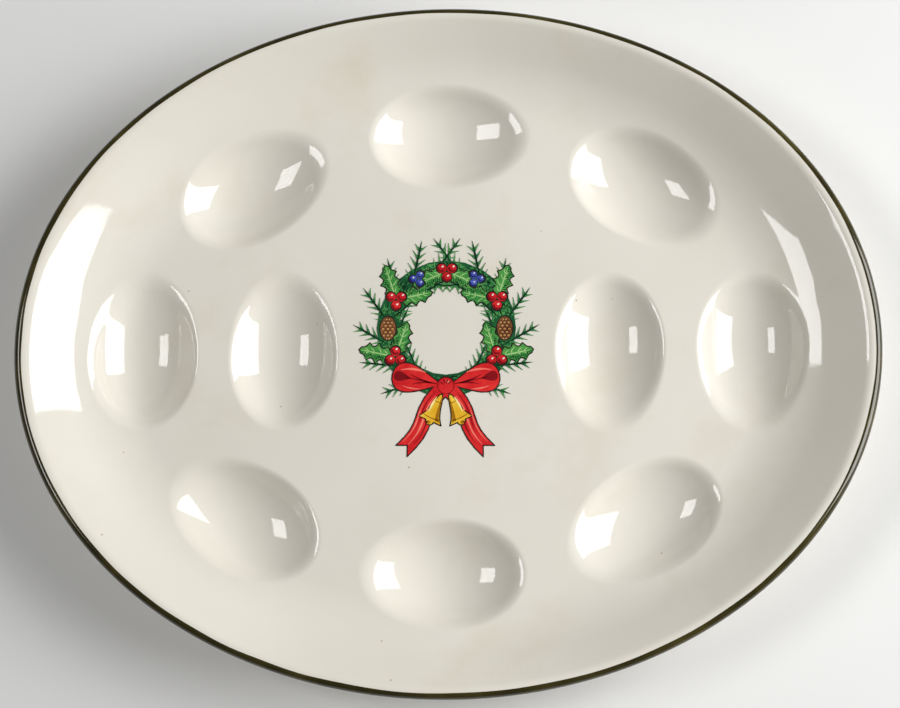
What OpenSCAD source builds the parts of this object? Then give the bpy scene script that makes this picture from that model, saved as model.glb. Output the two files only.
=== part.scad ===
// Oval egg platter with ten egg wells, a painted lip and a printed wreath.
// Millimetres. The origin is on the table under the middle, +X along the length, +Z up.

/* [Platter] */
// Length over the lip
platter_l = 343; // [325:1:380]
// Width over the lip
platter_w = 278; // [266:1:308]
// Height of the lip above the flat floor
rim_rise = 17; // [15:0.5:21]
// Steepest slope of the rim at the two ends, in degrees
rim_slope = 32; // [28:1:36]
// Radius of the hollow curve from the floor into the rim
cove_r = 51; // [40:1:56]
// Radius of the roll over the top of the lip
crest_r = 7; // [5:0.5:9]
// Thickness of the ware
ware_t = 6; // [5:0.25:7.5]

/* [Egg wells] */
// Length of one well
well_l = 62; // [56:0.5:64]
// Width of one well
well_w = 43; // [38:0.5:44]
// Depth of a well under the floor
well_depth = 10; // [8:0.5:12.5]
// How far a well's widest place lies towards its blunt end, as a share of half its length
well_taper_share = 0.07; // [0:0.005:0.1]
// Thickness of the ware under a well
well_wall = 5; // [4:0.25:7]
// Middle of an outer well on the long axis, as a share of half the length
outer_share = 0.712; // [0.7:0.002:0.718]
// Middle of an inner well on the long axis, as a share of half the length
inner_share = 0.382; // [0.374:0.002:0.388]
// Middle of a well on the short axis, as a share of half the width
end_share = 0.642; // [0.63:0.002:0.656]
// Middle of a corner well along the length, as a share of half the length
corner_x_share = 0.462; // [0.454:0.002:0.47]
// Middle of a corner well across the width, as a share of half the width
corner_y_share = 0.488; // [0.478:0.002:0.496]
// Turn of the corner wells, in degrees
corner_turn = 31; // [27:1:34]

/* [Foot] */
// Width of the foot ring at the table
foot_w = 6; // [4:0.5:8]
// Slope of the foot ring's two faces, in degrees
foot_draft = 12; // [4:1:16]
// Clear height between the table and the undersides of the wells
foot_gap = 1.5; // [1:0.25:4]

/* [Lip band] */
// Thickness of the painted band
band_t = 0.15; // [0.1:0.05:0.3]

/* [Printed wreath] */
// Thickness of the dark key print
ink_t = 0.1; // [0.05:0.05:0.2]
// Thickness of a colour printed over it
colour_t = 0.1; // [0.05:0.05:0.2]
// Width of the dark line between two colours
ink_w = 0.5; // [0.3:0.05:0.8]
// Radius of the wreath's middle line
wreath_r = 23.5; // [21:0.5:25]
// Height of the wreath's middle above the platter's
wreath_y = 9.5; // [6:0.5:11]
// Width of the wreath's dense core
core_w = 9; // [6:0.5:11]
// Length of a fir sprig
sprig_l = 16; // [13:0.5:17]
// Length of the longest needle
needle_l = 5.25; // [4:0.25:6.5]
// Width of a needle where it leaves the stem
needle_w = 1.6; // [1.2:0.1:2]
// Length of a holly leaf
leaf_l = 15; // [12:0.5:16]
// Width of a holly leaf
leaf_w = 8.4; // [6:0.2:9]
// Radius of a red berry
berry_r = 2.1; // [1.6:0.1:2.3]
// Radius of a blue berry
juniper_r = 1.7; // [1.3:0.1:1.9]
// Length of a fir cone
cone_l = 10; // [8:0.5:11]
// Width of a fir cone
cone_w = 6.6; // [5:0.2:7]
// Length of one loop of the bow
loop_l = 22; // [18:0.5:24]
// Width of one loop of the bow
loop_w = 12; // [9:0.5:13]
// Radius of the bow's knot
knot_r = 3.6; // [3:0.1:4.2]
// Length of a ribbon tail
tail_l = 30; // [24:0.5:31]
// Width of the ribbon
tail_w = 6.4; // [5:0.2:7]
// Height of a bell
bell_h = 12; // [10:0.5:13]
// Width of a bell over its mouth
bell_w = 10; // [8:0.5:11]

/* [Hidden] */
half_l = platter_l / 2;
half_w = platter_w / 2;
floor_z = foot_gap + well_wall + well_depth;
under_z = floor_z - ware_t;
overrun = ware_t;
$fn = 180;

// The section, at the length's end: x is the way out from the middle
lip_r = (ware_t - crest_r * (1 - cos(rim_slope))) / (1 + cos(rim_slope));
crest_x = half_l - band_t - lip_r;
crest_z = floor_z + rim_rise;
lip_mid = [crest_x, crest_z - lip_r];
crest_mid = [crest_x, crest_z - crest_r];
slope_run = (rim_rise - (crest_r + cove_r) * (1 - cos(rim_slope))) / tan(rim_slope);
cove_mid = [crest_x - (crest_r + cove_r) * sin(rim_slope) - slope_run, floor_z + cove_r];
cove_steps = 6;
crest_steps = 3;
lip_steps = 8;
band_steps = 7;
lip_step_turn = (180 - rim_slope) / lip_steps;
band_low_turn = 90 - band_steps * lip_step_turn;

// The foot ring runs midway between the inner and the outer wells
foot_x = half_l * (outer_share + inner_share) / 2;
foot_low_half = foot_w / 2 - overrun * tan(foot_draft);
foot_top_half = foot_w / 2 + under_z * tan(foot_draft);

// The wells of one half turn: [x, y, turn of the narrow end]
bowl_r = (pow(well_w / 2, 2) + pow(well_depth, 2)) / (2 * well_depth);
bowl_z = floor_z - well_depth + bowl_r;
well_cut_share = 0.6;
well_cut_z = floor_z + well_depth * well_cut_share;
well_shift = well_l / 2 * well_taper_share;
corner_x = half_l * corner_x_share;
corner_y = half_w * corner_y_share;
half_turn_wells = [
    [half_l * outer_share, 0, -90],
    [half_l * inner_share, 0, -90],
    [0, half_w * end_share, 0],
    [corner_x, corner_y, -corner_turn],
    [-corner_x, corner_y, corner_turn]
];

// The wreath's places, as turns from the bow round to the top, used on both sides
holly_turns = [60, 120];
juniper_turns = [150];
cone_turns = [90];
sprig_turns = [24:24:168];
sprig_splays = [-42, 42];
leaf_splays = [-48, 48];
needle_pairs = 5;
needle_turn = 42;
leaf_steps = 16;
leaf_spines = 4;
leaf_notch_share = 0.42;
loop_steps = 28;
tail_steps = 8;
bell_steps = 14;
knot_y = wreath_y - wreath_r;
loop_lift = 12;
loop_peak_share = sin(120) * (1 - cos(120));
tail_lean_share = 0.58;
tail_sway_share = 0.05;
tail_drop_share = 0.88;
bell_splay = 24;
bell_dome_share = 0.55;
clapper_r = bell_w / 6;
print_fn = 24;

function arc(mid, r, from, to, steps) =
    [for (i = [0:steps]) let (turn = from + (to - from) * i / steps) mid + r * [cos(turn), sin(turn)]];

ware_section = concat(
    [[0, floor_z]],
    arc(cove_mid, cove_r, -90, rim_slope - 90, cove_steps),
    arc(crest_mid, crest_r, 90 + rim_slope, 90, crest_steps),
    arc(lip_mid, lip_r, 90 - lip_step_turn, rim_slope - 90, lip_steps - 1),
    arc(cove_mid, cove_r + ware_t, rim_slope - 90, -90, cove_steps),
    [[foot_x + foot_top_half, under_z]],
    [[foot_x + foot_low_half, -overrun]],
    [[foot_x - foot_low_half, -overrun]],
    [[foot_x - foot_top_half, under_z]],
    [[0, under_z]]
);

band_section = concat(
    arc(lip_mid, lip_r + band_t, 90, band_low_turn, band_steps),
    arc(lip_mid, lip_r, band_low_turn, 90, band_steps)
);

// A section carried round the oval, a quarter at a time
module round_oval() {
    for (start = [0:90:270])
        scale([1, platter_w / platter_l, 1]) rotate_extrude(angle = 90, start = start) children();
}

module below(z) {
    translate([-platter_l, -platter_l, z - platter_l]) cube([2 * platter_l, 2 * platter_l, platter_l]);
}

module half_bowl(half, grow) {
    arc_r = (pow(half, 2) + pow(well_depth, 2)) / (2 * well_depth);
    rotate([0, 90, 0]) rotate_extrude() intersection() {
        translate([bowl_r - arc_r, 0]) circle(arc_r + grow);
        square([bowl_r + 2 * well_wall, 2 * well_l]);
    }
}

// An egg-shaped bowl at every well, grown by grow and cut off level at top_z
module bowls(grow, top_z) {
    for (half = [0, 180], well = half_turn_wells)
        rotate(half) translate([well.x, well.y, 0]) rotate(well.z) intersection() {
            translate([-well_shift, 0, bowl_z]) {
                half_bowl(well_l / 2 * (1 + well_taper_share), grow);
                mirror([1, 0, 0]) half_bowl(well_l / 2 * (1 - well_taper_share), grow);
            }
            below(top_z);
        }
}

// The clay body with its rim, wells and foot ring
module platter_body() color("Ivory") difference() {
    union() {
        round_oval() polygon(ware_section);
        bowls(well_wall, floor_z - ware_t / 2);
    }
    bowls(0, well_cut_z);
    below(0);
}

// The painted band over the lip
module rim_band() color("DarkOliveGreen") round_oval() polygon(band_section);

// Children at the given turns on both sides of the wreath, +X pointing up along it
module round_wreath(turns) {
    for (side = [0, 1], turn = turns)
        translate([0, wreath_y]) mirror([side, 0]) rotate(turn) translate([0, -wreath_r]) children();
}

// One side of a sprig: each needle leaves the stem, runs out to its tip and comes back
function sprig_side(side) = [for (i = [0:needle_pairs - 1], step = [-1, 0, 1]) let (
        foot = sprig_l * i / needle_pairs + needle_w / 2,
        reach = needle_l * (1 - i / needle_pairs / 2)
    ) step == 0 ? [foot + reach * cos(needle_turn), side * (needle_w / 4 + reach * sin(needle_turn))]
        : [foot + step * needle_w / 2, side * needle_w / 4]];

module sprig() {
    right = sprig_side(1);
    left = sprig_side(-1);
    polygon(concat(right, [[sprig_l + needle_w, 0]], [for (i = [len(left) - 1:-1:0]) left[i]]));
}

function leaf_edge(t) = leaf_w / 2 * sqrt(sin(180 * t))
    * (1 - leaf_notch_share * sin(180 * (t * leaf_spines - floor(t * leaf_spines))));

module leaf() {
    polygon(concat(
        [for (i = [0:leaf_steps]) [leaf_l * i / leaf_steps, leaf_edge(i / leaf_steps)]],
        [for (i = [leaf_steps - 1:-1:1]) [leaf_l * i / leaf_steps, -leaf_edge(i / leaf_steps)]]
    ));
}

// Three dots that just miss each other
module trio(r) {
    for (turn = [30, 150, 270]) rotate(turn) translate([(r + ink_w / 4) * 2 / sqrt(3), 0]) circle(r);
}

module fir_2d() {
    translate([0, wreath_y]) difference() {
        circle(wreath_r + core_w / 2);
        circle(wreath_r - core_w / 2);
    }
    round_wreath(sprig_turns) for (splay = sprig_splays) rotate(splay) sprig();
}

module holly_2d() {
    round_wreath(holly_turns) for (splay = leaf_splays) rotate(splay) leaf();
    translate([0, wreath_y + wreath_r]) for (side = [0, 1])
        mirror([side, 0]) rotate(-leaf_splays[1] / 2) leaf();
}

module berries_2d(r) {
    round_wreath(holly_turns) trio(r);
    translate([0, wreath_y + wreath_r]) trio(r);
}

module juniper_2d(r) {
    round_wreath(juniper_turns) rotate(180) trio(r);
}

module cones_2d(edge) {
    round_wreath(cone_turns) scale([1, (cone_w - edge) / (cone_l - edge)]) circle((cone_l - edge) / 2);
}

module loop() {
    polygon([for (i = [0:loop_steps - 1]) let (turn = 360 * i / loop_steps)
        [loop_l * (1 - cos(turn)) / 2, loop_w / 2 * sin(turn) * (1 - cos(turn)) / loop_peak_share]]);
}

function tail_mid(t) =
    tail_l * [tail_lean_share * t + tail_sway_share * sin(360 * t), -tail_drop_share * t];

// The tail's course at t, and a point on its edge, across that course
function tail_way(t) = [tail_lean_share + tail_sway_share * 2 * PI * cos(360 * t), -tail_drop_share];
function tail_edge(t, side) =
    tail_mid(t) + side * tail_w / 2 * [-tail_way(t).y, tail_way(t).x] / norm(tail_way(t));

module tail() {
    polygon(concat(
        [for (i = [0:tail_steps]) tail_edge(i / tail_steps, -1)],
        [tail_mid(1) - tail_w / 2 * tail_way(1) / norm(tail_way(1))],
        [for (i = [tail_steps:-1:0]) tail_edge(i / tail_steps, 1)]
    ));
}

module ribbon_2d() {
    translate([0, knot_y]) {
        for (side = [0, 1]) mirror([side, 0]) {
            rotate(loop_lift) loop();
            tail();
        }
        circle(knot_r);
    }
}

function bell_edge(t) = bell_w / 2 * (bell_dome_share * sqrt(t) + (1 - bell_dome_share) * pow(t, 4));

module bell() {
    polygon(concat(
        [for (i = [0:bell_steps]) [bell_edge(i / bell_steps), -bell_h * i / bell_steps]],
        [for (i = [bell_steps:-1:1]) [-bell_edge(i / bell_steps), -bell_h * i / bell_steps]]
    ));
    translate([0, -bell_h]) circle(clapper_r);
}

module bells_2d() {
    translate([0, knot_y]) for (side = [0, 1])
        mirror([side, 0]) rotate(bell_splay) translate([0, -knot_r]) bell();
}

module bow_2d() {
    ribbon_2d();
    bells_2d();
}

module trim_2d() {
    berries_2d(berry_r);
    juniper_2d(juniper_r);
    cones_2d(0);
    bow_2d();
}

// A colour printed over the key, drawn in from its neighbours so that the dark line shows
module printed() {
    translate([0, 0, floor_z + ink_t]) linear_extrude(colour_t) offset(delta = -ink_w / 2) children();
}

module printed_dots() {
    translate([0, 0, floor_z + ink_t]) linear_extrude(colour_t) children();
}

// The dark key print under the leaves and trim, whose edge shows round them as a line
module key_2d() {
    offset(delta = ink_w / 2, chamfer = true) {
        holly_2d();
        trim_2d();
    }
}

module decal_ink() color("Black") translate([0, 0, floor_z]) linear_extrude(ink_t) key_2d($fn = print_fn);

// The fir is printed straight on the glaze, up to the key, with no sliver thinner than half its line
module decal_fir() color("DarkGreen") translate([0, 0, floor_z]) linear_extrude(ink_t + colour_t)
    offset(delta = ink_w / 4) offset(delta = -ink_w / 4) difference() {
        fir_2d($fn = print_fn);
        key_2d($fn = print_fn);
    }

module decal_holly() color("ForestGreen") printed($fn = print_fn) difference() {
    holly_2d();
    trim_2d();
}

module decal_berries() color("Crimson") printed_dots() berries_2d(berry_r - ink_w / 2);

module decal_juniper() color("RoyalBlue") printed_dots() juniper_2d(juniper_r - ink_w / 2);

module decal_cones() color("SaddleBrown") printed_dots() cones_2d(ink_w);

module decal_ribbon() color("Red") printed($fn = print_fn) difference() {
    ribbon_2d();
    bells_2d();
}

module decal_bells() color("Gold") printed($fn = print_fn) bells_2d();

platter_body();
rim_band();
decal_ink();
decal_fir();
decal_holly();
decal_berries();
decal_juniper();
decal_cones();
decal_ribbon();
decal_bells();
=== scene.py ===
import math

import bmesh
import bpy
import numpy as np
from mathutils import Matrix, Vector
from mathutils.geometry import delaunay_2d_cdt


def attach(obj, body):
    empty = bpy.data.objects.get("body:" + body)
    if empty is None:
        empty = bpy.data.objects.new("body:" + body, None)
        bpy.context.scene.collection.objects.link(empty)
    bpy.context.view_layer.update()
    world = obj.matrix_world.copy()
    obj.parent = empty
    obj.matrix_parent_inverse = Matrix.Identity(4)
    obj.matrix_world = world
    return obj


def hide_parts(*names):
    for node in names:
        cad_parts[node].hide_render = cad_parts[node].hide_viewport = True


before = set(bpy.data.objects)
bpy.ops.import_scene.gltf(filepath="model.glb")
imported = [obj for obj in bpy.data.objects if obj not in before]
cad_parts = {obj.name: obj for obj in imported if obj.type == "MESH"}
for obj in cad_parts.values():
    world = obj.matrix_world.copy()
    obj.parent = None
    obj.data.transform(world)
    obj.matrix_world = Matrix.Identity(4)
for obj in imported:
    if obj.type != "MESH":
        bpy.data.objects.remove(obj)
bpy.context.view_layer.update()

MM = 0.001

# Sizes of the platter, in millimetres, as in part.scad
HALF_L = 171.5
HALF_W = 139.0
RIM_RISE = 17.0
RIM_SLOPE = math.radians(32.0)
COVE_R = 51.0
CREST_R = 7.0
WARE_T = 6.0
WELL_L = 62.0
WELL_W = 43.0
WELL_DEPTH = 10.0
WELL_TAPER_SHARE = 0.07
WELL_WALL = 5.0
FOOT_W = 6.0
FOOT_DRAFT = math.radians(12.0)
FOOT_GAP = 1.5
BAND_T = 0.15

# Places of the wells, as shares of the half length and half width
SIDE_SHARES = (0.712, 0.382)
END_SHARE = 0.642
CORNER_SHARES = (0.462, 0.488)
CORNER_TURN = 31.0

# Sizes that follow from these
WIDTH_SHARE = HALF_W / HALF_L
FLOOR_Z = FOOT_GAP + WELL_WALL + WELL_DEPTH
UNDER_Z = FLOOR_Z - WARE_T
LIP_R = (WARE_T - CREST_R * (1 - math.cos(RIM_SLOPE))) / (1 + math.cos(RIM_SLOPE))
LIP_LOW = RIM_SLOPE - math.pi / 2
CREST_X = HALF_L - BAND_T - LIP_R
CREST_Z = FLOOR_Z + RIM_RISE
SLOPE_RUN = (RIM_RISE - (CREST_R + COVE_R) * (1 - math.cos(RIM_SLOPE))) / math.tan(RIM_SLOPE)
COVE_X = CREST_X - (CREST_R + COVE_R) * math.sin(RIM_SLOPE) - SLOPE_RUN
UNDER_X = CREST_X + LIP_R * math.cos(LIP_LOW)
FOOT_X = HALF_L * sum(SIDE_SHARES) / 2
BOWL_R = ((WELL_W / 2) ** 2 + WELL_DEPTH ** 2) / (2 * WELL_DEPTH)
BOWL_Z = FLOOR_Z - WELL_DEPTH + BOWL_R
WELL_SHIFT = WELL_L / 2 * WELL_TAPER_SHARE
WELL_HALVES = (WELL_L / 2 - WELL_SHIFT, WELL_L / 2 + WELL_SHIFT)

# Softness of the well edges and bumps, and how far a well draws in under its soft edge
WELL_EDGE = 2.4
EDGE_INSET = 0.8
BUMP_EDGE = 5.0

# Radius of a well's bottom along its length, and how far past its outline the form is used
BELLY_R = 50.0
WELL_REACH_SHARE = 1.5
FAR_ABOVE = 10 * HALF_L


def all_wells():
    """Middle of each well and turn of its narrow end: one half, then the same turned half round."""
    corner_x, corner_y = HALF_L * CORNER_SHARES[0], HALF_W * CORNER_SHARES[1]
    half = [
        (HALF_L * SIDE_SHARES[0], 0.0, -90.0),
        (HALF_L * SIDE_SHARES[1], 0.0, -90.0),
        (0.0, HALF_W * END_SHARE, 0.0),
        (corner_x, corner_y, -CORNER_TURN),
        (-corner_x, corner_y, CORNER_TURN),
    ]
    near = [(x, y, math.radians(turn)) for x, y, turn in half]
    far = [(-x, -y, math.radians(turn + 180)) for x, y, turn in half]
    return near + far


WELLS = all_wells()


# Heights of the two faces

def oval_radius(x, y):
    """Distance from the middle, with the width stretched to the length."""
    return np.hypot(x, y / WIDTH_SHARE)


def top_section(r):
    """Height of the upper face without its wells."""
    bend = COVE_R * math.sin(RIM_SLOPE)
    z = np.full_like(r, FLOOR_Z)
    cove = np.clip(r - COVE_X, 0, bend)
    z += COVE_R - np.sqrt(COVE_R ** 2 - cove ** 2)
    z += np.clip(r - COVE_X - bend, 0, SLOPE_RUN) * math.tan(RIM_SLOPE)
    start = COVE_X + bend + SLOPE_RUN
    roll = np.clip(r, start, CREST_X) - CREST_X
    z += np.sqrt(CREST_R ** 2 - roll ** 2) - CREST_R * math.cos(RIM_SLOPE)
    return z


def under_section(r):
    """Height of the lower face without its bumps and foot."""
    bend = (COVE_R + WARE_T) * math.sin(RIM_SLOPE)
    cove = np.clip(r - COVE_X, 0, bend)
    z = UNDER_Z + COVE_R + WARE_T - np.sqrt((COVE_R + WARE_T) ** 2 - cove ** 2)
    return z + np.clip(r - COVE_X - bend, 0, None) * math.tan(RIM_SLOPE)


def in_well(x, y, well):
    """A point in the well's own directions: along to its narrow end, and across."""
    dx, dy = x - well[0], y - well[1]
    c, s = math.cos(well[2]), math.sin(well[2])
    return dx * c + dy * s + WELL_SHIFT, dy * c - dx * s


def well_half(u):
    """Length from the widest part of a well to its end, on the side where u lies."""
    return np.where(u > 0, WELL_HALVES[1], WELL_HALVES[0])


def well_height(x, y, well):
    """Height of a well's hollow, or far above where it has none."""
    u, v = in_well(x, y, well)
    half = well_half(u) - EDGE_INSET
    wide = WELL_W / 2 - EDGE_INSET
    along, across = (u / half) ** 2, (v / wide) ** 2
    out = along + across
    belly = half ** 2 / (2 * BELLY_R * WELL_DEPTH)
    hollow = wide ** 2 / (2 * BOWL_R * WELL_DEPTH)
    rise = along * (belly + (1 - belly) * out) + across * (hollow + (1 - hollow) * out)
    return np.where(out < WELL_REACH_SHARE ** 2, FLOOR_Z - WELL_DEPTH * (1 - rise), FAR_ABOVE)


def bump_height(x, y, well):
    """Height of the bump under a well, or far above where it has none."""
    u, v = in_well(x, y, well)
    half = well_half(u) + WELL_WALL
    across = np.maximum(BOWL_R + WELL_WALL - WELL_DEPTH * (u / half) ** 2, 0)
    within = across ** 2 - v ** 2
    return np.where(within > 0, BOWL_Z - np.sqrt(np.maximum(within, 0)), FAR_ABOVE)


def soft_min(a, b, k):
    """The lower of two heights, rounded over where they cross."""
    h = np.clip(0.5 + 0.5 * (b - a) / k, 0, 1)
    return b + (a - b) * h - k * h * (1 - h)


def top_height(x, y):
    """Height of the upper face. A hollow follows the floor where it starts to rise."""
    dish = top_section(oval_radius(x, y))
    z = dish
    for well in WELLS:
        z = soft_min(z, well_height(x, y, well) + dish - FLOOR_Z, WELL_EDGE)
    return z


def under_height(x, y):
    """Height of the lower face with its bumps."""
    z = under_section(oval_radius(x, y))
    for well in WELLS:
        z = soft_min(z, bump_height(x, y, well), BUMP_EDGE)
    return z


# How finely the faces are divided
ROUND = 360
TURNS = np.arange(ROUND) * 2 * math.pi / ROUND
TOP_CELL = 4.0
UNDER_CELL = 5.0
TOP_WELL_POINTS = 120
UNDER_WELL_POINTS = 72
COVE_RINGS = 13
SLOPE_RINGS = 6
CREST_RINGS = 7
UNDER_RINGS = 16
LIP_RINGS = 18
WELL_RING_SHARES = [0.12, 0.24, 0.36, 0.47, 0.57, 0.66, 0.74, 0.8]
WELL_RING_SHARES += [0.84 + 0.02 * k for k in range(24)]
BUMP_RING_SHARES = [0.2, 0.4, 0.6, 0.76, 0.88, 0.96, 1.02, 1.08, 1.14, 1.2, 1.26, 1.33]
RING_GAP_SHARE = 0.05
GRID_GAP_SHARE = 0.6
GRID_ROW_SHARE = math.sqrt(3) / 2
WELD = 0.01
FINE_WELD = 0.001
TINY = 1e-6


# Meshes

def oval_ring(r):
    """Plan points round the oval, with one radius or one for each point."""
    return np.stack([r * np.cos(TURNS), r * WIDTH_SHARE * np.sin(TURNS)], axis=1)


def oval_row(r, z):
    """Points round the oval at a height, with one height or one for each point."""
    return np.column_stack([oval_ring(r), np.broadcast_to(z, ROUND)])


def well_ring(well, share, count):
    """A ring round a well, share times its outline."""
    turn = np.arange(count) * 2 * math.pi / count
    u = share * well_half(np.cos(turn)) * np.cos(turn) - WELL_SHIFT
    v = share * WELL_W / 2 * np.sin(turn)
    c, s = math.cos(well[2]), math.sin(well[2])
    return np.stack([well[0] + u * c - v * s, well[1] + u * s + v * c], axis=1)


def well_share(points):
    """How far out of the nearest well each point lies, 1 on its outline."""
    share = np.full(len(points), np.inf)
    for well in WELLS:
        u, v = in_well(points[:, 0], points[:, 1], well)
        share = np.minimum(share, np.hypot(u / well_half(u), v / (WELL_W / 2)))
    return share


def floor_grid(cell):
    """Plan points in rows of even triangles over the whole platter."""
    nx, ny = int(HALF_L / cell) + 1, int(HALF_W / (cell * GRID_ROW_SHARE)) + 1
    gx, gy = np.meshgrid(np.arange(-nx, nx + 1), np.arange(-ny, ny + 1))
    return np.stack([(gx + 0.5 * (gy % 2)) * cell, gy * cell * GRID_ROW_SHARE], axis=-1).reshape(-1, 2)


def sheet_points(well_shares, well_count, edge_r, rim_rs, cell):
    """Plan points of a face: rings in the wells, rings on the rim, and a grid on the floor between."""
    rings = [np.array([well[:2]]) for well in WELLS]
    rings += [well_ring(well, share, well_count) for well in WELLS for share in well_shares]
    grid = floor_grid(cell)
    on_floor = oval_radius(grid[:, 0], grid[:, 1]) < min(rim_rs) - cell * GRID_GAP_SHARE
    loose = np.concatenate([oval_ring(r) for r in rim_rs] + [grid[on_floor]])
    loose = loose[well_share(loose) > max(well_shares) + RING_GAP_SHARE]
    return np.concatenate(rings + [loose, oval_ring(edge_r)])


def sheet(points, height, flip):
    """Triangles over the plan points, lifted to a height."""
    out = delaunay_2d_cdt([Vector(p) for p in points], [], [], 0, TINY, False)
    plan = np.array([tuple(v) for v in out[0]])
    z = height(plan[:, 0], plan[:, 1])
    faces = [tuple(reversed(f)) if flip else tuple(f) for f in out[2]]
    return np.column_stack([plan, z]), faces


def loop_strip(rows):
    """Faces between closed rows of points, one row after another."""
    faces = []
    for k in range(len(rows) - 1):
        for i in range(ROUND):
            j = (i + 1) % ROUND
            faces.append((k * ROUND + i, k * ROUND + j, (k + 1) * ROUND + j, (k + 1) * ROUND + i))
    return np.concatenate(rows), faces


def swept(section):
    """A strip carried round the oval: section is a list of (r, z)."""
    return loop_strip([oval_row(r, z) for r, z in section])


def lip_point(turn, r):
    """Radius and height of a point round the lip's roll."""
    return CREST_X + r * np.cos(turn), CREST_Z - LIP_R + r * np.sin(turn)


def joined(parts):
    """Several (verts, faces) as one."""
    verts, faces, base = [], [], 0
    for part_verts, part_faces in parts:
        verts.append(np.asarray(part_verts, dtype=float))
        faces += [tuple(i + base for i in face) for face in part_faces]
        base += len(part_verts)
    return np.concatenate(verts), faces


def weld(mesh, distance):
    """Joins points that lie together, and turns all faces outwards."""
    bm = bmesh.new()
    bm.from_mesh(mesh)
    bmesh.ops.remove_doubles(bm, verts=bm.verts, dist=distance * MM)
    bmesh.ops.recalc_face_normals(bm, faces=bm.faces)
    bm.to_mesh(mesh)
    bm.free()


def make_piece(name, verts, faces, material, merge=0.0):
    """A mesh in millimetres as a smooth piece that rides on the platter."""
    mesh = bpy.data.meshes.new(name)
    mesh.from_pydata([Vector(v) * MM for v in verts], [], faces)
    if merge:
        weld(mesh, merge)
    mesh.validate()
    mesh.polygons.foreach_set("use_smooth", [True] * len(mesh.polygons))
    mesh.materials.append(material)
    piece = bpy.data.objects.new(name, mesh)
    bpy.context.scene.collection.objects.link(piece)
    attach(piece, "root")
    return piece


# Materials
GLAZE_IOR = 1.52
PRINT_IOR = 1.5
RIPPLE_SCALE = 55.0
RIPPLE_DEPTH = 1.0 * MM
CLAY_GRAIN_DEPTH = 0.3 * MM
FEW_SPECKS_SHARE = 0.975


def new_material(name):
    """A material with its nodes, links and shader."""
    material = bpy.data.materials.new(name)
    material.use_nodes = True
    nodes = material.node_tree.nodes
    return material, nodes, material.node_tree.links, nodes["Principled BSDF"]


def add(nodes, kind, **values):
    """A node with its named inputs or properties set."""
    node = nodes.new(kind)
    for key, value in values.items():
        if key in node.inputs:
            node.inputs[key].default_value = value
        else:
            setattr(node, key, value)
    return node


def srgb(r, g, b):
    """Linear colour of an 8-bit display colour."""
    return tuple(c / 255 / 12.92 if c <= 10 else ((c / 255 + 0.055) / 1.055) ** 2.4 for c in (r, g, b))


def ramp(nodes, links, factor, stops):
    """A colour along display colours at their places."""
    node = nodes.new("ShaderNodeValToRGB")
    elements = node.color_ramp.elements
    while len(elements) < len(stops):
        elements.new(0.5)
    for element, (place, colour) in zip(elements, stops):
        element.position = place
        element.color = (*srgb(*colour), 1.0)
    links.new(factor, node.inputs["Fac"])
    return node.outputs["Color"]


def object_coordinates(nodes):
    """Coordinates that stay with the object."""
    return nodes.new("ShaderNodeTexCoord").outputs["Object"]


def noise(nodes, links, scale, detail, roughness=0.5):
    """A noise value fixed to the object."""
    node = add(nodes, "ShaderNodeTexNoise", Scale=scale, Detail=detail, Roughness=roughness)
    links.new(object_coordinates(nodes), node.inputs["Vector"])
    return node.outputs["Fac"]


def ranged(nodes, links, value, source, target):
    """A value moved from one range to another."""
    node = nodes.new("ShaderNodeMapRange")
    for name, limit in zip(("From Min", "From Max", "To Min", "To Max"), (*source, *target)):
        node.inputs[name].default_value = limit
    links.new(value, node.inputs["Value"])
    return node.outputs["Result"]


def mixed(nodes, links, factor, a, b):
    """The colour of socket a, turned to the display colour b by a factor."""
    node = add(nodes, "ShaderNodeMix", data_type="RGBA")
    links.new(factor, node.inputs["Factor"])
    first, second = [s for s in node.inputs if s.type == "RGBA"]
    links.new(a, first)
    second.default_value = (*srgb(*b), 1.0)
    return next(s for s in node.outputs if s.type == "RGBA")


def bump(nodes, links, shader, height, strength, distance):
    """Relief on a shader from a height value."""
    node = add(nodes, "ShaderNodeBump", Strength=strength, Distance=distance)
    links.new(height, node.inputs["Height"])
    links.new(node.outputs["Normal"], shader.inputs["Normal"])


def glaze_bump(nodes, links, shader, strength):
    """The faint ripple of a fired glaze."""
    ripple = noise(nodes, links, RIPPLE_SCALE, detail=2.0)
    bump(nodes, links, shader, ripple, strength, RIPPLE_DEPTH)


def specks(nodes, links):
    """How far a point lies in one of a few small specks."""
    cells = add(nodes, "ShaderNodeTexVoronoi", Scale=210.0)
    links.new(object_coordinates(nodes), cells.inputs["Vector"])
    near = ranged(nodes, links, cells.outputs["Distance"], (0.05, 0.12), (1.0, 0.0))
    pick = nodes.new("ShaderNodeSeparateColor")
    links.new(cells.outputs["Color"], pick.inputs["Color"])
    few = add(nodes, "ShaderNodeMath", operation="GREATER_THAN")
    few.inputs[1].default_value = FEW_SPECKS_SHARE
    links.new(pick.outputs["Red"], few.inputs[0])
    speck = add(nodes, "ShaderNodeMath", operation="MULTIPLY")
    links.new(near, speck.inputs[0])
    links.new(few.outputs["Value"], speck.inputs[1])
    return speck.outputs["Value"]


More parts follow.
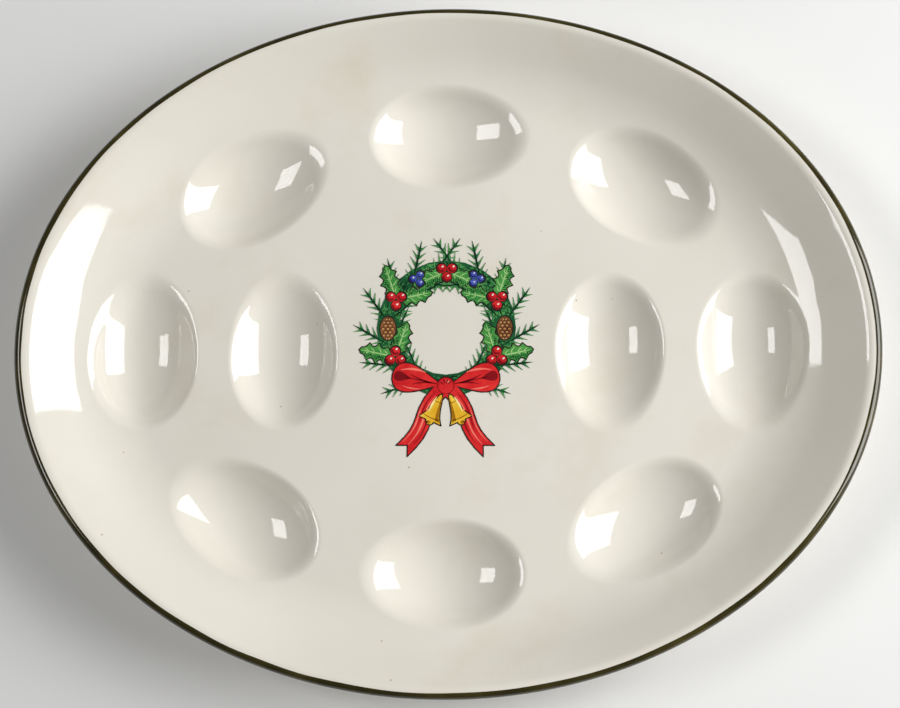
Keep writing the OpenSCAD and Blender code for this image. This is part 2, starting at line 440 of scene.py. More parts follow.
def cream_glaze():
    """Cream glaze, faintly clouded, with a few specks of the clay and faint warm stains of use."""
    material, nodes, links, shader = new_material("cream_glaze")
    cloud = noise(nodes, links, scale=14.0, detail=4.0)
    tone = ramp(nodes, links, cloud, [(0.3, (224, 220, 208)), (0.7, (231, 227, 216))])
    blot = noise(nodes, links, scale=24.0, detail=5.0, roughness=0.6)
    stain = ranged(nodes, links, blot, (0.56, 0.8), (0.0, 0.35))
    worn = mixed(nodes, links, stain, tone, (212, 198, 172))
    colour = mixed(nodes, links, specks(nodes, links), worn, (186, 170, 146))
    links.new(colour, shader.inputs["Base Color"])
    gloss = noise(nodes, links, scale=90.0, detail=2.0)
    links.new(ranged(nodes, links, gloss, (0.0, 1.0), (0.03, 0.07)), shader.inputs["Roughness"])
    shader.inputs["IOR"].default_value = GLAZE_IOR
    glaze_bump(nodes, links, shader, strength=0.05)
    return material


def banded_glaze():
    """Dark olive paint under the glaze, pooled unevenly by the brush."""
    material, nodes, links, shader = new_material("green_lip")
    pool = noise(nodes, links, scale=70.0, detail=4.0)
    tone = ramp(nodes, links, pool, [(0.3, (40, 36, 10)), (0.55, (56, 50, 18)), (0.8, (76, 70, 32))])
    links.new(tone, shader.inputs["Base Color"])
    shader.inputs["Roughness"].default_value = 0.1
    shader.inputs["IOR"].default_value = GLAZE_IOR
    glaze_bump(nodes, links, shader, strength=0.08)
    return material


def bare_clay():
    """Fired clay with no glaze."""
    material, nodes, links, shader = new_material("bare_clay")
    grain = noise(nodes, links, scale=900.0, detail=5.0, roughness=0.7)
    tone = ramp(nodes, links, grain, [(0.3, (196, 182, 158)), (0.7, (224, 213, 192))])
    links.new(tone, shader.inputs["Base Color"])
    shader.inputs["Roughness"].default_value = 0.85
    bump(nodes, links, shader, grain, strength=0.4, distance=CLAY_GRAIN_DEPTH)
    return material


def print_colour(name, dark, light):
    """A printed colour under the glaze, with the uneven ink of a transfer."""
    material, nodes, links, shader = new_material(name)
    uneven = noise(nodes, links, scale=160.0, detail=4.0, roughness=0.6)
    links.new(ramp(nodes, links, uneven, [(0.32, dark), (0.68, light)]), shader.inputs["Base Color"])
    shader.inputs["Roughness"].default_value = 0.16
    shader.inputs["IOR"].default_value = PRINT_IOR
    glaze_bump(nodes, links, shader, strength=0.05)
    return material


cream = cream_glaze()
green = banded_glaze()
clay = bare_clay()

# The platter
slope_top = CREST_X - CREST_R * math.sin(RIM_SLOPE)
cove_rs = list(np.linspace(COVE_X, COVE_X + COVE_R * math.sin(RIM_SLOPE), COVE_RINGS))
slope_rs = list(np.linspace(cove_rs[-1], slope_top, SLOPE_RINGS)[1:])
crest_rs = list(np.linspace(slope_top, CREST_X, CREST_RINGS)[1:-1])
top_rs = cove_rs + slope_rs + crest_rs
under_rs = list(np.linspace(COVE_X, UNDER_X, UNDER_RINGS)[:-1])
top_points = sheet_points(WELL_RING_SHARES, TOP_WELL_POINTS, CREST_X, top_rs, TOP_CELL)
under_points = sheet_points(BUMP_RING_SHARES, UNDER_WELL_POINTS, UNDER_X, under_rs, UNDER_CELL)
top = sheet(top_points, top_height, False)
under = sheet(under_points, under_height, True)
lip = swept([lip_point(turn, LIP_R) for turn in np.linspace(LIP_LOW, math.pi / 2, LIP_RINGS)])
ware = make_piece("platter_ware", *joined([top, lip, under]), cream, merge=WELD)
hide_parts("platter_body")

# The foot ring, glazed on its sides and bare where it meets the table
FLARE_SHARE = math.tan(FOOT_DRAFT)
BARE_H = 1.2
FOOT_ROUND = 0.7
ROUND_CUT = 0.3 * FOOT_ROUND
FILLET = 1.6
FILLET_BENDS = (30, 60, 90)
SINK = 0.7
FOOT_PASSES = 4


def foot_side(sign):
    """One face of the ring, from the bare clay up to the ware above, with a fillet into it."""
    edge = FOOT_X + sign * FOOT_W / 2
    top_z = np.full(ROUND, UNDER_Z)
    for _ in range(FOOT_PASSES):
        reach = edge + sign * (FLARE_SHARE * top_z + FILLET / 2)
        top_z = under_height(*oval_ring(reach).T)
    face_z = np.maximum(top_z - FILLET, BARE_H)
    rows = [(edge + sign * FLARE_SHARE * BARE_H, BARE_H)]
    rows.append((edge + sign * FLARE_SHARE * face_z, face_z))
    for bend in FILLET_BENDS:
        out = FILLET * (1 - math.cos(math.radians(bend)))
        up = FILLET * math.sin(math.radians(bend))
        rows.append((edge + sign * (FLARE_SHARE * face_z + out), face_z + up))
    rows.append((edge + sign * (FLARE_SHARE * face_z + 2 * FILLET), top_z + SINK))
    return swept(rows)


foot_sides = make_piece("foot_ring", *joined([foot_side(1), foot_side(-1)]), cream, merge=FINE_WELD)
low, high = FOOT_X - FOOT_W / 2, FOOT_X + FOOT_W / 2
bare = [
    (low - FLARE_SHARE * BARE_H, BARE_H),
    (low - FLARE_SHARE * FOOT_ROUND, FOOT_ROUND),
    (low + ROUND_CUT, ROUND_CUT),
    (low + FOOT_ROUND, 0.0),
    (high - FOOT_ROUND, 0.0),
    (high - ROUND_CUT, ROUND_CUT),
    (high + FLARE_SHARE * FOOT_ROUND, FOOT_ROUND),
    (high + FLARE_SHARE * BARE_H, BARE_H),
]
bare_foot = make_piece("bare_foot", *swept(bare), clay, merge=FINE_WELD)

# The painted band on the lip, with a brushed edge
BAND_STEPS = 14
BAND_HIGH = math.radians(94.0)
BAND_SWAY = math.radians(5.0)
BAND_LOW = math.radians(-30.0)
HIGH_WOBBLE = math.radians(2.5)
LOW_WOBBLE = math.radians(5.0)
WOBBLE_WAVES = 40
EDGE_LIFT = BAND_T / 2
rng = np.random.default_rng(7)


def wander(size):
    """A smooth closed wobble, a turn for each point round the oval."""
    total = np.zeros(ROUND)
    for k in range(2, WOBBLE_WAVES):
        total += rng.normal() * np.cos(k * TURNS + rng.uniform(0, 2 * math.pi)) / math.sqrt(WOBBLE_WAVES)
    return size * total


band_high = BAND_HIGH - BAND_SWAY * np.cos(TURNS) + wander(HIGH_WOBBLE)
band_low = BAND_LOW + wander(LOW_WOBBLE)
band_rows = []
for k in range(BAND_STEPS + 1):
    lift = EDGE_LIFT if k in (0, BAND_STEPS) else BAND_T
    turn = band_low + (band_high - band_low) * (k / BAND_STEPS)
    band_rows.append(lip_point(turn, LIP_R + lift))
band = make_piece("lip_band", *swept(band_rows), green)
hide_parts("rim_band")

# The printed wreath keeps its CAD shapes and gets its inks
INKS = {
    "decal_ink": ("key_ink", (24, 22, 20), (48, 42, 36)),
    "decal_fir": ("fir_green", (14, 66, 40), (34, 104, 56)),
    "decal_holly": ("holly_green", (44, 126, 56), (92, 164, 78)),
    "decal_berries": ("berry_red", (176, 20, 30), (222, 44, 44)),
    "decal_juniper": ("juniper_blue", (46, 62, 148), (84, 104, 190)),
    "decal_cones": ("cone_brown", (104, 62, 34), (150, 98, 56)),
    "decal_ribbon": ("ribbon_red", (200, 26, 34), (232, 52, 50)),
    "decal_bells": ("bell_gold", (226, 168, 30), (246, 208, 72)),
}
for node, (ink, dark, light) in INKS.items():
    material = print_colour(ink, dark, light)
    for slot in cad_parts[node].material_slots:
        slot.material = material

# Sizes of the print, in millimetres and degrees, as in part.scad
WREATH_R = 23.5
WREATH_Y = 9.5
CORE_W = 9.0
SPRIG_L = 16.0
NEEDLE_L = 5.25
NEEDLE_W = 1.6
LEAF_L = 15.0
LEAF_W = 8.4
BERRY_R = 2.1
JUNIPER_R = 1.7
CONE_L = 10.0
CONE_W = 6.6
LOOP_L = 22.0
LOOP_W = 12.0
KNOT_R = 3.6
TAIL_L = 30.0
TAIL_W = 6.4
BELL_H = 12.0
BELL_W = 10.0
LINE_W = 0.5
HOLLY_TURNS = (60.0, 120.0)
JUNIPER_TURNS = (150.0,)
CONE_TURNS = (90.0,)
SPRIG_TURNS = tuple(range(24, 169, 24))
TRIO_TURNS = (30, 150, 270)
SPRIG_SPLAYS = (-42.0, 42.0)
LEAF_SPLAYS = (-48.0, 48.0)
NEEDLE_PAIRS = 5
NEEDLE_TURN = math.radians(42.0)
LOOP_LIFT = 12.0
BELL_SPLAY = 24.0
LEAF_SPINES = 4
SPINE_SHARE = 0.42
BELL_SHOULDER_SHARE = 0.55
BELL_FLARE_SHARE = 0.45
LOOP_PEAK = 1.3
TAIL_LEAN_SHARE = 0.58
TAIL_SWAY_SHARE = 0.05
TAIL_DROP_SHARE = 0.88
KNOT = np.array([0.0, WREATH_Y - WREATH_R])
CROWN = np.array([0.0, WREATH_Y + WREATH_R])
SIDES = (0, 1)

# Height of the print's face over the floor, and of the fine drawing a hair above it
PRINT_LIFT = 0.2
DETAIL_LIFT = 0.015
DETAIL_Z = FLOOR_Z + PRINT_LIFT + DETAIL_LIFT


# Places on the print

def direction(turn):
    """A step of length 1 at a turn."""
    return np.array([math.cos(turn), math.sin(turn)])


def turned(points, degrees):
    """Plan points turned about the origin."""
    c, s = math.cos(math.radians(degrees)), math.sin(math.radians(degrees))
    points = np.atleast_2d(points)
    return np.column_stack([points[:, 0] * c - points[:, 1] * s, points[:, 0] * s + points[:, 1] * c])


def mirrored(points, side):
    """Plan points, flipped left to right for the second side."""
    return points * np.array([-1.0 if side else 1.0, 1.0])


def on_wreath(points, side, degrees):
    """Points beside the wreath's middle line, +X up along it, put at a turn from the bow."""
    return mirrored(turned(np.atleast_2d(points) - [0, WREATH_R], degrees), side) + [0, WREATH_Y]


def trio_middles(r):
    """Middles of three berries that nearly touch."""
    far = (r + LINE_W / 4) * 2 / math.sqrt(3)
    return np.array([far * direction(math.radians(turn)) for turn in TRIO_TURNS])


# Functions that put a shape's own points in their place on the print

def placed_leaf(side, turn, splay):
    return lambda points: on_wreath(turned(points, splay), side, turn)


def crown_leaf(side):
    return lambda points: mirrored(turned(points, -LEAF_SPLAYS[1] / 2), side) + CROWN


def placed_loop(side):
    return lambda points: mirrored(turned(points, LOOP_LIFT), side) + KNOT


def placed_tail(side):
    return lambda points: mirrored(np.atleast_2d(points), side) + KNOT


def placed_bell(side):
    return lambda points: mirrored(turned(np.atleast_2d(points) - [0, KNOT_R], BELL_SPLAY), side) + KNOT


red_trio, blue_trio = trio_middles(BERRY_R), -trio_middles(JUNIPER_R)
berries = [m for side in SIDES for turn in HOLLY_TURNS for m in on_wreath(red_trio, side, turn)]
berries += [m + CROWN for m in red_trio]
junipers = [m for side in SIDES for turn in JUNIPER_TURNS for m in on_wreath(blue_trio, side, turn)]
cones = [on_wreath([[0, 0], [1, 0]], side, turn) for side in SIDES for turn in CONE_TURNS]
leaves = [placed_leaf(side, turn, a) for side in SIDES for turn in HOLLY_TURNS for a in LEAF_SPLAYS]
leaves += [crown_leaf(side) for side in SIDES]
loops = [placed_loop(side) for side in SIDES]
tails = [placed_tail(side) for side in SIDES]
bells = [placed_bell(side) for side in SIDES]
dots = [(m, BERRY_R) for m in berries] + [(m, JUNIPER_R) for m in junipers]
covers = dots + [(cone[0], CONE_L / 2) for cone in cones]


# Outlines of the print

def leaf_half(t):
    """Half width of a leaf with its spines, at a share of its length."""
    spine = 1 - SPINE_SHARE * math.sin(math.pi * (t * LEAF_SPINES - math.floor(t * LEAF_SPINES)))
    return LEAF_W / 2 * math.sqrt(max(math.sin(math.pi * t), 0)) * spine


def bell_half(t):
    """Half width of a bell, at a share of its height from the top."""
    return BELL_W / 2 * (BELL_SHOULDER_SHARE * math.sqrt(t) + BELL_FLARE_SHARE * t ** 4)


def loop_point(turn):
    """A point of a bow's loop, which starts and ends in the knot."""
    out = 1 - math.cos(turn)
    return LOOP_L * out / 2, LOOP_W / 2 * math.sin(turn) * out / LOOP_PEAK


def tail_point(t, aside):
    """A point of a ribbon tail at a share of its length, aside of its middle by a length."""
    wave = 2 * math.pi * t
    lean = TAIL_LEAN_SHARE * t + TAIL_SWAY_SHARE * math.sin(wave)
    way = np.array([TAIL_LEAN_SHARE + TAIL_SWAY_SHARE * 2 * math.pi * math.cos(wave), -TAIL_DROP_SHARE])
    across = np.array([-way[1], way[0]]) / np.hypot(*way)
    return TAIL_L * np.array([lean, -TAIL_DROP_SHARE * t]) + aside * across


OUTLINE_SHARES = [k / 16 for k in range(17)]
BACK_SHARES = OUTLINE_SHARES[::-1]
LOOP_POINTS = 28
leaf_shape = [(LEAF_L * t, leaf_half(t)) for t in OUTLINE_SHARES]
leaf_shape += [(LEAF_L * t, -leaf_half(t)) for t in BACK_SHARES[1:-1]]
bell_shape = [(bell_half(t), -BELL_H * t) for t in OUTLINE_SHARES]
bell_shape += [(-bell_half(t), -BELL_H * t) for t in BACK_SHARES]
loop_shape = [loop_point(turn) for turn in np.linspace(0, 2 * math.pi, LOOP_POINTS, endpoint=False)]
tail_shape = [tail_point(t, -TAIL_W / 2) for t in OUTLINE_SHARES]
tail_shape += [tail_point(t, TAIL_W / 2) for t in BACK_SHARES]
leaf_outlines = [put(np.array(leaf_shape)) for put in leaves]
bell_outlines = [put(np.array(bell_shape)) for put in bells]
loop_outlines = [put(np.array(loop_shape)) for put in loops]
tail_outlines = [put(np.array(tail_shape)) for put in tails]


def inside(point, outline):
    """Whether a plan point lies in an outline."""
    a, b = outline, np.roll(outline, -1, axis=0)
    crosses = (a[:, 1] > point[1]) != (b[:, 1] > point[1])
    rise = np.where(b[:, 1] == a[:, 1], 1.0, b[:, 1] - a[:, 1])
    x = a[:, 0] + (point[1] - a[:, 1]) / rise * (b[:, 0] - a[:, 0])
    return bool(np.count_nonzero(crosses & (x > point[0])) % 2)


def in_any(point, outlines):
    """Whether a plan point lies in one of several outlines."""
    return any(inside(point, outline) for outline in outlines)


def near_cover(point, margin):
    """Whether a point lies on a berry or a cone, or within a margin of one."""
    return any(np.hypot(*(point - middle)) < r + margin for middle, r in covers)


def on_bow(point, margin):
    """Whether a point lies on the bow or its bells, or within a margin of them."""
    if np.hypot(*(point - KNOT)) < KNOT_R + margin:
        return True
    around = point + margin * np.array([[1, 0], [-1, 0], [0, 1], [0, -1]])
    return any(in_any(p, loop_outlines + tail_outlines + bell_outlines) for p in around)


class Drawing:
    """Flat strokes and patches of one colour."""

    def __init__(self):
        self.verts = []
        self.faces = []

    def patch(self, points):
        """A flat face with these corners."""
        base = len(self.verts)
        self.verts += [(x, y, DETAIL_Z) for x, y in points]
        self.faces.append(tuple(range(base, base + len(points))))

    def stroke(self, points, width, taper=0.3, clear=None):
        """A line that thins towards its ends, left out where clear says no."""
        points = np.asarray(points, dtype=float)
        along = np.gradient(points, axis=0)
        across = np.column_stack([-along[:, 1], along[:, 0]])
        across /= np.maximum(np.hypot(along[:, 0], along[:, 1]), TINY)[:, None]
        share = np.sin(np.linspace(0, math.pi, len(points)))
        half = width / 2 * (taper + (1 - taper) * share)
        left, right = points + across * half[:, None], points - across * half[:, None]
        for k in range(len(points) - 1):
            if clear is None or clear((points[k] + points[k + 1]) / 2):
                self.patch([left[k], right[k], right[k + 1], left[k + 1]])

    def finish(self, name, slot, ink, dark, light):
        """The drawing as a piece in its own ink, with every face up."""
        up = []
        for face in self.faces:
            ring = [self.verts[i] for i in face]
            turn = sum(p[0] * q[1] - q[0] * p[1] for p, q in zip(ring, ring[1:] + ring[:1]))
            up.append(face if turn > 0 else face[::-1])
        piece = make_piece(name, self.verts, up, print_colour(ink, dark, light))


def curve(a, b, bow, count):
    """A shallow arc from a to b."""
    a, b = np.asarray(a, dtype=float), np.asarray(b, dtype=float)
    side = np.array([-(b - a)[1], (b - a)[0]])
    return np.array([a + (b - a) * t + side * bow * 4 * t * (1 - t) for t in np.linspace(0, 1, count)])


def dot(middle, radii, degrees=0.0, count=14):
    """An oval patch's points, with its radii along and across."""
    turns = np.linspace(0, 2 * math.pi, count, endpoint=False)
    return turned(np.array([radii * direction(turn) for turn in turns]), degrees) + middle


# Fir needles: a light stroke on each, and loose ones through the core
FIR_GAP = 0.5
STEM_LINE = 0.5
NEEDLE_LINE = 0.42
NEEDLE_DRAWN_SHARE = 0.85
LOOSE_NEEDLES = 700
LOOSE_SPREAD_SHARE = 0.42
LOOSE_LENGTHS = (2.2, 3.6)
LOOSE_TURN_RAD = 0.55
LOOSE_BOW_SHARE = 0.06
CORE_MARGIN = 0.3
light_fir, dark_fir = Drawing(), Drawing()


def fir_clear(point):
    """Whether the fir shows at a point."""
    return not (near_cover(point, FIR_GAP) or on_bow(point, FIR_GAP) or in_any(point, leaf_outlines))


def draw_sprig(side, turn, splay):
    """The stem of a sprig and a stroke on each of its needles."""
    stem = curve((0, 0), (SPRIG_L, 0), 0.0, 12)
    dark_fir.stroke(on_wreath(turned(stem, splay), side, turn), STEM_LINE, clear=fir_clear)
    for i in range(NEEDLE_PAIRS):
        foot = SPRIG_L * i / NEEDLE_PAIRS + NEEDLE_W / 2
        reach = NEEDLE_L * (1 - i / NEEDLE_PAIRS / 2)
        for flip in (1, -1):
            end_x = foot + reach * math.cos(NEEDLE_TURN) * NEEDLE_DRAWN_SHARE
            end_y = flip * (NEEDLE_W / 4 + reach * math.sin(NEEDLE_TURN)) * NEEDLE_DRAWN_SHARE
            line = curve((foot, flip * NEEDLE_W / 4), (end_x, end_y), 0.0, 5)
            light_fir.stroke(on_wreath(turned(line, splay), side, turn), NEEDLE_LINE, clear=fir_clear)


def draw_loose_needle(drawing_in):
    """A needle somewhere in the wreath's core, roughly along it."""
    turn = rng.uniform(0, 2 * math.pi)
    r = WREATH_R + rng.uniform(-LOOSE_SPREAD_SHARE, LOOSE_SPREAD_SHARE) * CORE_W
    way = turn + math.pi / 2 + rng.normal(0, LOOSE_TURN_RAD)
    start = r * direction(turn)
    stop = start + rng.uniform(*LOOSE_LENGTHS) * direction(way)
    if abs(np.hypot(*stop) - WREATH_R) < CORE_W / 2 - CORE_MARGIN:
        line = curve(start, stop, LOOSE_BOW_SHARE, 6) + [0, WREATH_Y]
        drawing_in.stroke(line, NEEDLE_LINE, clear=fir_clear)


for side in SIDES:
    for turn in SPRIG_TURNS:
        for splay in SPRIG_SPLAYS:
            draw_sprig(side, turn, splay)
for k in range(LOOSE_NEEDLES):
    draw_loose_needle(light_fir if k % 3 else dark_fir)
light_fir.finish("fir_light", "fir_green", "fir_light", (58, 138, 72), (98, 170, 92))
dark_fir.finish("fir_dark", "fir_green", "fir_dark", (6, 34, 20), (14, 52, 30))

# Holly leaves: a pale rib with side veins, and a shaded half
LEAF_GAP = 0.4
RIB_LINE = 0.5
RIB_START = 0.6
RIB_END = 1.2
VEIN_LINE = 0.32
VEIN_SHARES = (0.2, 0.38, 0.56, 0.72)
VEIN_RUN = 2.2
VEIN_AHEAD_SHARE = 0.12
VEIN_LAST_SHARE = 0.95
VEIN_REACH_SHARE = 0.62
VEIN_BOW_SHARE = 0.08
SHADE_LINE = 0.62
SHADE_SHARES = np.linspace(0.08, 0.92, 16)
SHADE_OUT_SHARE = 0.82
SHADE_START_SHARE = 0.35
SHADE_LEAN = 0.5
veins, shade = Drawing(), Drawing()


def leaf_clear(outline):
    """A test for where a leaf shows: in its outline and under nothing."""
    others = [o for o in leaf_outlines if o is not outline]

    def clear(point):
        hidden = near_cover(point, LEAF_GAP) or on_bow(point, LEAF_GAP)
        return inside(point, outline) and not hidden and not in_any(point, others)

    return clear


def draw_leaf(put, clear):
    """The rib, the veins and the shaded half of a leaf."""
    veins.stroke(put(curve((RIB_START, 0), (LEAF_L - RIB_END, 0), 0.0, 20)), RIB_LINE, clear=clear)
    for share in VEIN_SHARES:
        reach = leaf_half(min(share + VEIN_AHEAD_SHARE, VEIN_LAST_SHARE)) * VEIN_REACH_SHARE
        for flip in (1, -1):
            end = (LEAF_L * share + VEIN_RUN, flip * reach)
            line = curve((LEAF_L * share, 0), end, VEIN_BOW_SHARE * flip, 6)
            veins.stroke(put(line), VEIN_LINE, clear=clear)
    for share in SHADE_SHARES:
        edge = -leaf_half(share) * SHADE_OUT_SHARE
        start, end = (LEAF_L * share, edge * SHADE_START_SHARE), (LEAF_L * share + SHADE_LEAN, edge)
        shade.stroke(put(curve(start, end, 0.0, 4)), SHADE_LINE, taper=0.6, clear=clear)


for put, outline in zip(leaves, leaf_outlines):
    draw_leaf(put, leaf_clear(outline))
veins.finish("holly_veins", "holly_green", "holly_pale", (150, 200, 120), (182, 220, 150))
shade.finish("holly_shade", "holly_green", "holly_deep", (22, 88, 40), (36, 108, 48))

# Berries: a shaded edge and a glint
CRESCENT_TURNS_RAD = np.linspace(2.9, 5.6, 12)
CRESCENT_OUT_SHARE = 0.92
CRESCENT_IN_SHARE = 0.62
CRESCENT_SHIFT_SHARES = np.array([0.12, 0.14])
GLINT_PLACE_SHARES = np.array([0.28, 0.36])
GLINT_SHARES = np.array([0.26, 0.18])
GLINT_TURN = 40.0
glints, red_shade, blue_shade = Drawing(), Drawing(), Drawing()


def draw_berry(middle, r, drawing_in):
    """The shaded edge and the glint of a berry."""
    rim = r - LINE_W / 2
    crescent = [CRESCENT_OUT_SHARE * direction(turn) for turn in CRESCENT_TURNS_RAD]
    for turn in CRESCENT_TURNS_RAD[::-1]:
        crescent.append(CRESCENT_IN_SHARE * direction(turn) + CRESCENT_SHIFT_SHARES)
    drawing_in.patch([middle + rim * point for point in crescent])
    glints.patch(dot(middle + rim * GLINT_PLACE_SHARES, rim * GLINT_SHARES, GLINT_TURN))


for middle in berries:
    draw_berry(middle, BERRY_R, red_shade)
for middle in junipers:
    draw_berry(middle, JUNIPER_R, blue_shade)
glints.finish("berry_glints", "berry_red", "print_white", (240, 232, 220), (250, 246, 238))
red_shade.finish("berry_shade", "berry_red", "berry_deep", (112, 10, 20), (140, 16, 26))
blue_shade.finish("juniper_shade", "juniper_blue", "juniper_deep", (24, 32, 92), (36, 46, 116))

# Cones: crossing rows of scales
SCALE_ROWS = range(-3, 4)
ROWS_TO_END = 3.6
SCALE_LINE = 0.36
SCALE_R = 1.1
SCALE_BACK = 0.7
SCALE_TURNS_RAD = np.linspace(-1.5, 1.5, 8)
ROW_WIDTH_SHARE = 0.94
SCALE_STEP_SHARE = 0.66
SCALE_HALF_SHARE = 0.33
SCALE_LAST_SHARE = 0.95
TIP_BACK = 0.25
TIP_RADII = np.array([0.32, 0.5])
scales, scale_tips = Drawing(), Drawing()


def draw_scale(x, y, half_w, heading, middle):
    """The bent edge of one scale and its pale tip."""
    bend = [(x - SCALE_BACK + SCALE_R * math.cos(a), y + half_w * math.sin(a)) for a in SCALE_TURNS_RAD]
    scales.stroke(turned(np.array(bend), heading) + middle, SCALE_LINE, taper=0.5)
    tip = turned([x - TIP_BACK, y], heading)[0] + middle
    scale_tips.patch(dot(tip, TIP_RADII, heading))


def draw_cone(middle, ahead):
    """The scales of a cone whose tip points ahead of its middle."""
    heading = math.degrees(math.atan2(*(ahead - middle)[::-1]))
    rim_l, rim_w = (CONE_L - LINE_W) / 2, (CONE_W - LINE_W) / 2
    for row in SCALE_ROWS:
        x = row * rim_l / ROWS_TO_END
        half = rim_w * math.sqrt(1 - (x / rim_l) ** 2) * ROW_WIDTH_SHARE
        for column in (-1, 0, 1):
            y = half * (column + 0.5 * (row % 2)) * SCALE_STEP_SHARE
            if abs(y) < half * SCALE_LAST_SHARE:
                draw_scale(x, y, SCALE_HALF_SHARE * half, heading, middle)


for cone in cones:
    draw_cone(*cone)
scales.finish("cone_scales", "cone_brown", "cone_deep", (56, 32, 16), (78, 46, 24))
scale_tips.finish("cone_tips", "cone_brown", "cone_pale", (184, 134, 84), (206, 158, 104))

# Ribbon: fold lines and light along the loops and tails
FOLD_START = (3.6, 0.0)
LOOP_MOUTH_SHARE = 0.34
LOOP_REACH_SHARE = 0.965
SHARP_TAPER_SHARE = 0.2

# Lines of a loop: a fold's end, or a light's two ends, then the bow and the width
LOOP_FOLDS = (((15.0, 1.6), -0.05, 0.7), ((13.0, -2.0), 0.06, 0.7), ((17.0, 0.0), 0.0, 0.5))
LOOP_LIGHTS = (((9.0, 3.6), (19.0, 2.6), 0.08, 0.9), ((9.5, -3.4), (17.0, -3.6), -0.05, 0.6))

# Lines of a tail: the place aside, the first and last share of the length, and the width
TAIL_FOLDS = ((-1.6, 0.14, 0.86, 0.6), (1.3, 0.1, 0.7, 0.5))
TAIL_LIGHTS = ((0.0, 0.16, 0.9, 0.8), (2.3, 0.3, 0.92, 0.5))

# The knot's edge, gathers and light
KNOT_GAP = 0.1
KNOT_EDGE = 0.3
KNOT_LINE = 0.4
KNOT_RAY_TURNS = (-50, -15, 20, 55)
KNOT_RAY_LINE = 0.5
KNOT_RAY_START = 0.8
KNOT_RAY_GAP = 0.7
KNOT_LIGHT_PLACE = (0.9, 1.6)
KNOT_LIGHT_RADII = np.array([1.0, 0.5])
KNOT_LIGHT_TURN = -30.0
folds, lights = Drawing(), Drawing()


def off_bells(point):
    """Whether a point lies off the bells and the knot."""
    return not in_any(point, bell_outlines) and np.hypot(*(point - KNOT)) > KNOT_R + KNOT_GAP


def tail_clear(outline):
    """A test for where a tail shows."""
    return lambda point: inside(point, outline) and off_bells(point)


def draw_loop(put):
    """The folds, the light and the dark mouth of a loop."""
    for end, bow, width in LOOP_FOLDS:
        folds.stroke(put(curve(FOLD_START, end, bow, 10)), width, SHARP_TAPER_SHARE, off_bells)
    for start, end, bow, width in LOOP_LIGHTS:
        lights.stroke(put(curve(start, end, bow, 8)), width, SHARP_TAPER_SHARE)
    mouth_x = LOOP_L * (LOOP_REACH_SHARE - LOOP_MOUTH_SHARE)
    folds.patch(put(np.array(loop_shape) * LOOP_MOUTH_SHARE + [mouth_x, 0]))


def draw_tail(put, clear):
    """The folds and the light of a tail."""
    for drawing_in, lines in ((folds, TAIL_FOLDS), (lights, TAIL_LIGHTS)):
        for aside, first, last, width in lines:
            line = np.array([tail_point(t, aside) for t in np.linspace(first, last, 18)])
            drawing_in.stroke(put(line), width, SHARP_TAPER_SHARE, clear)


def draw_knot():
    """The edge, the gathers and the light of the knot."""
    edge = np.full(2, KNOT_R - KNOT_EDGE)
    folds.stroke(dot(KNOT, edge, degrees=-90.0, count=41), KNOT_LINE, taper=0.8)
    for degrees in KNOT_RAY_TURNS:
        ray = curve((0, KNOT_RAY_START), (0, KNOT_R - KNOT_RAY_GAP), 0.0, 4)
        folds.stroke(turned(ray, degrees) + KNOT, KNOT_RAY_LINE)
    lights.patch(dot(KNOT + KNOT_LIGHT_PLACE, KNOT_LIGHT_RADII, KNOT_LIGHT_TURN))


for put in loops:
    draw_loop(put)
for put, outline in zip(tails, tail_outlines):
    draw_tail(put, tail_clear(outline))
draw_knot()
folds.finish("ribbon_folds", "ribbon_red", "ribbon_deep", (120, 10, 20), (146, 16, 24))
lights.finish("ribbon_light", "ribbon_red", "ribbon_pale", (242, 110, 96), (250, 138, 118))

# Bells: a shaded side, a bright streak, two lines and the clapper
BELL_SIDE_SHARES = np.linspace(0.12, 0.93, 12)
BELL_OUT_SHARE = 0.86
BELL_IN_SHARE = 0.45
BELL_LINES = ((0.86, 0.5), (0.3, 0.4))
BELL_LINE_SHARE = 0.88
BELL_LINE_BOW_SHARE = -0.06
CLAPPER_PLACE = np.array([0.2, -BELL_H - 0.6])
CLAPPER_RADII = np.array([0.9, 0.7])
STREAK_XS = (1.3, 1.9)
STREAK_SHARES = (0.16, 0.74)
STREAK_BOW_SHARE = 0.03
STREAK_LINE = 0.8
bell_shade, bell_light = Drawing(), Drawing()


def draw_bell(put):
    """The shade, the lines, the clapper and the streak of a bell."""
    side = [(-bell_half(t) * BELL_OUT_SHARE, -BELL_H * t) for t in BELL_SIDE_SHARES]
    side += [(-bell_half(t) * BELL_IN_SHARE, -BELL_H * t) for t in BELL_SIDE_SHARES[::-1]]
    bell_shade.patch(put(np.array(side)))
    for t, width in BELL_LINES:
        reach = BELL_LINE_SHARE * bell_half(t)
        line = curve((-reach, -BELL_H * t), (reach, -BELL_H * t), BELL_LINE_BOW_SHARE, 12)
        bell_shade.stroke(put(line), width, taper=0.6)
    bell_shade.patch(put(dot(CLAPPER_PLACE, CLAPPER_RADII)))
    start, end = [(x, -BELL_H * share) for x, share in zip(STREAK_XS, STREAK_SHARES)]
    bell_light.stroke(put(curve(start, end, STREAK_BOW_SHARE, 10)), STREAK_LINE, SHARP_TAPER_SHARE)


for put in bells:
    draw_bell(put)
bell_shade.finish("bell_shade", "bell_gold", "bell_deep", (158, 104, 14), (184, 126, 22))
bell_light.finish("bell_light", "bell_gold", "bell_pale", (252, 232, 140), (254, 242, 178))

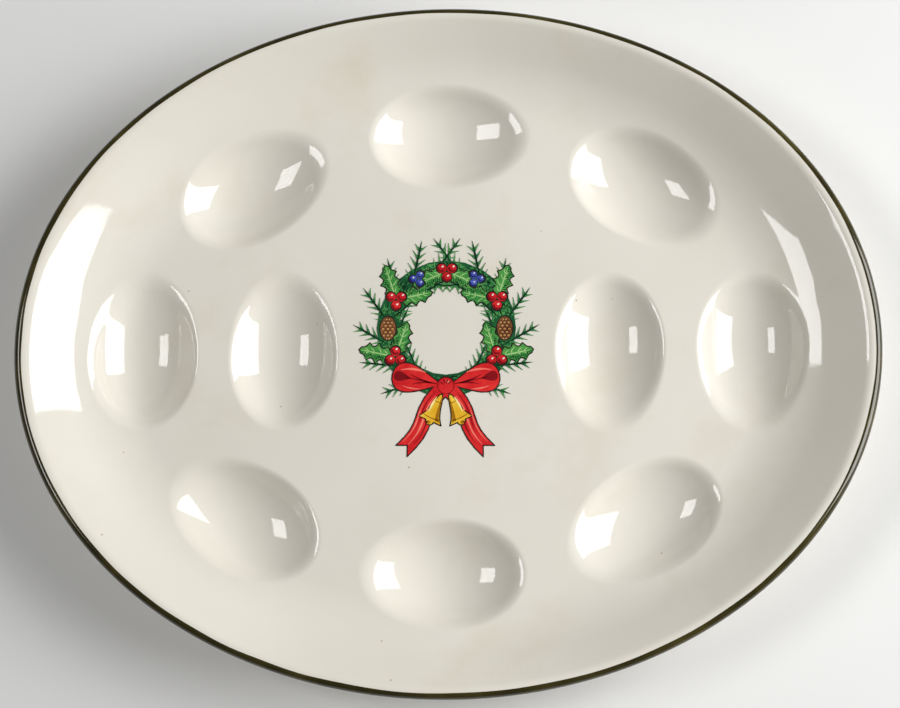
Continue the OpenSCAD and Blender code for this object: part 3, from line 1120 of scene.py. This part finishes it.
# Floor and lights, in metres and watts
FLOOR_HALF = 4.0
FLOOR_CORNERS = [(-1, -1), (1, -1), (1, 1), (-1, 1)]
FLOOR_COLOUR = (0.8, 0.8, 0.79, 1.0)
FLOOR_ROUGHNESS = 0.9
LAMPS = {
    "right_softbox": ((1.15, 0.1, 0.66), (1.04, 0.97), 25.0),
    "left_softbox": ((-1.51, 0.1, 1.82), (1.01, 0.66), 17.5),
}
WORLD_COLOUR = (1.0, 0.99, 0.97, 1.0)
WORLD_STRENGTH = 0.11


def studio_floor():
    """A plain pale floor under the foot."""
    material, _, _, shader = new_material("studio_floor")
    shader.inputs["Base Color"].default_value = FLOOR_COLOUR
    shader.inputs["Roughness"].default_value = FLOOR_ROUGHNESS
    mesh = bpy.data.meshes.new("studio_floor")
    mesh.from_pydata([(x * FLOOR_HALF, y * FLOOR_HALF, 0) for x, y in FLOOR_CORNERS], [], [(0, 1, 2, 3)])
    mesh.materials.append(material)
    floor = bpy.data.objects.new("studio_floor", mesh)
    bpy.context.scene.collection.objects.link(floor)


def softbox(name, place, size, power):
    """A rectangular lamp that faces the middle of the platter."""
    lamp = bpy.data.lights.new(name, "AREA")
    lamp.shape = "RECTANGLE"
    lamp.size, lamp.size_y = size
    lamp.energy = power
    box = bpy.data.objects.new(name, lamp)
    box.location = place
    box.rotation_euler = (-Vector(place)).to_track_quat("-Z", "Y").to_euler()
    bpy.context.scene.collection.objects.link(box)


studio_floor()
for name, lamp_values in LAMPS.items():
    softbox(name, *lamp_values)
world = bpy.data.worlds.new("studio_world")
bpy.context.scene.world = world
world.use_nodes = True
world.node_tree.nodes["Background"].inputs["Color"].default_value = WORLD_COLOUR
world.node_tree.nodes["Background"].inputs["Strength"].default_value = WORLD_STRENGTH

# The camera, as fitted to the platter's outline in the photograph
CAMERA_TILT = math.radians(11.36)
CAMERA_SIDE = math.radians(3.0)
CAMERA_ROLL = math.radians(0.49)
CAMERA_FAR = 905.0
SENSOR_W = 36.0
PIXELS_PER_MM = 2.494
SHIFT_PX = (-3.9, -2.6)
FRAME_W_PX = 900.0
tilt = Matrix.Rotation(CAMERA_SIDE, 3, "Y") @ Matrix.Rotation(CAMERA_TILT, 3, "X")
camera_turn = Matrix.Rotation(CAMERA_ROLL, 3, "Z") @ tilt
camera_data = bpy.data.cameras.new("photo_camera")
camera_data.sensor_width = SENSOR_W
camera_data.lens = PIXELS_PER_MM * CAMERA_FAR / FRAME_W_PX * SENSOR_W
camera = bpy.data.objects.new("photo_camera", camera_data)
offset = Vector((-SHIFT_PX[0] / PIXELS_PER_MM, SHIFT_PX[1] / PIXELS_PER_MM, CAMERA_FAR))
camera_place = (camera_turn @ offset + Vector((0, 0, FLOOR_Z))) * MM
camera.matrix_world = Matrix.Translation(camera_place) @ camera_turn.to_4x4()
bpy.context.scene.collection.objects.link(camera)
bpy.context.scene.camera = camera
bpy.context.scene.view_settings.view_transform = "Standard"
